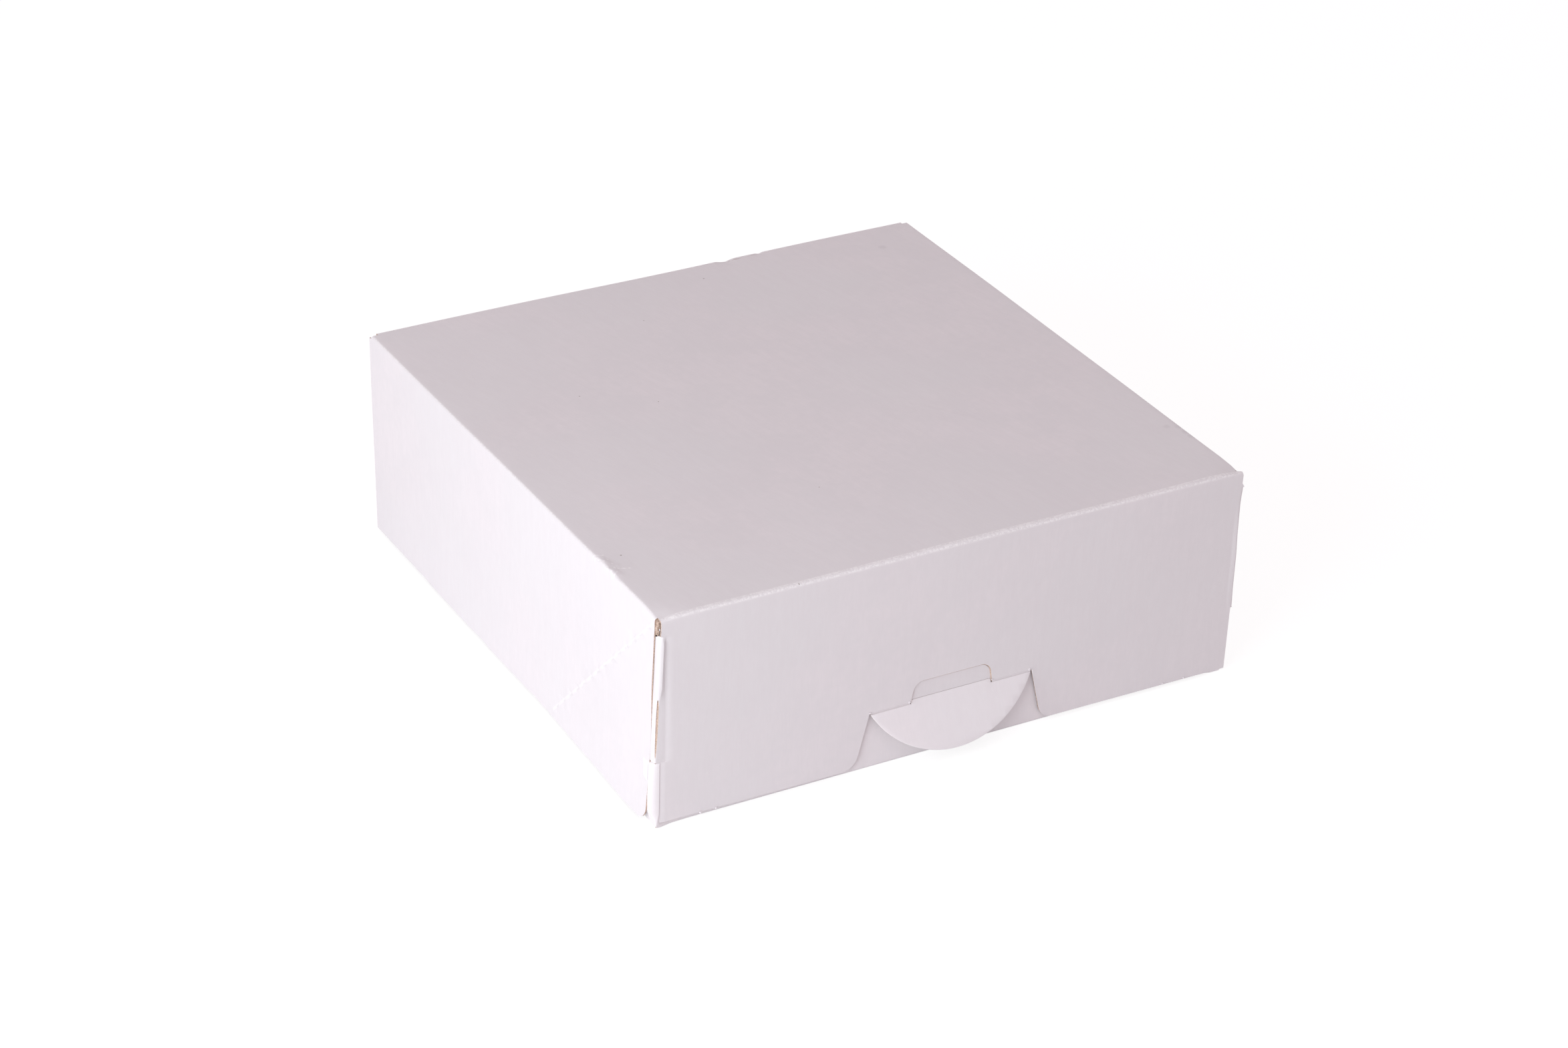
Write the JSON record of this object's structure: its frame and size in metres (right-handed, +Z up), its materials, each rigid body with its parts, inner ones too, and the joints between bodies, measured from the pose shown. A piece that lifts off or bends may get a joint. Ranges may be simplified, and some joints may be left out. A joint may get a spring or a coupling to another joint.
{
  "type": "cake box",
  "caption": "Square folded paperboard cake box with a hinged lid, glued corner tabs and a half-moon lock tab that swings into a slot in the tray.",
  "frame": {"origin": "middle of the box's plan, on the underside of the base that stands on the table", "axes": "+Z up, -Y out of the front with the lock tab, +X to the box's right-hand side seen from the front"},
  "size_m": [0.2252, 0.2265, 0.079],
  "materials": {
    "tray_board": "coated white board",
    "lid_board": "coated white board",
    "lock_board": "coated white board"
  },
  "bodies": {
    "tray": {"tray_base": "tray_board", "tray_front_wall": "tray_board", "tray_back_wall": "tray_board", "tray_left_wall": "tray_board", "tray_right_wall": "tray_board", "tray_front_left_gusset": "tray_board", "tray_front_left_glue_tab": "tray_board", "tray_front_right_gusset": "tray_board", "tray_front_right_glue_tab": "tray_board", "tray_back_left_gusset": "tray_board", "tray_back_left_glue_tab": "tray_board", "tray_back_right_gusset": "tray_board", "tray_back_right_glue_tab": "tray_board", "back_crease": "tray_board"},
    "lid": {"lid_top": "lid_board", "lid_front_flap": "lid_board", "lid_left_flap": "lid_board", "lid_left_gusset": "lid_board", "lid_left_glue_tab": "lid_board", "lid_right_flap": "lid_board", "lid_right_gusset": "lid_board", "lid_right_glue_tab": "lid_board"},
    "lock": {"lock_tab": "lock_board", "lock_tongue": "lock_board"}
  },
  "joints": [
    {"name": "lid_hinge", "type": "hinge", "parent": "tray", "child": "lid", "pos_m": [0, 0.1094, 0.0784], "axis": [-1, 0, 0], "range_deg": [0, 180]},
    {"name": "lock_hinge", "type": "hinge", "parent": "lid", "child": "lock", "pos_m": [0, -0.10975, 0.022], "axis": [-1, 0, 0], "range_deg": [0, 70]}
  ]
}
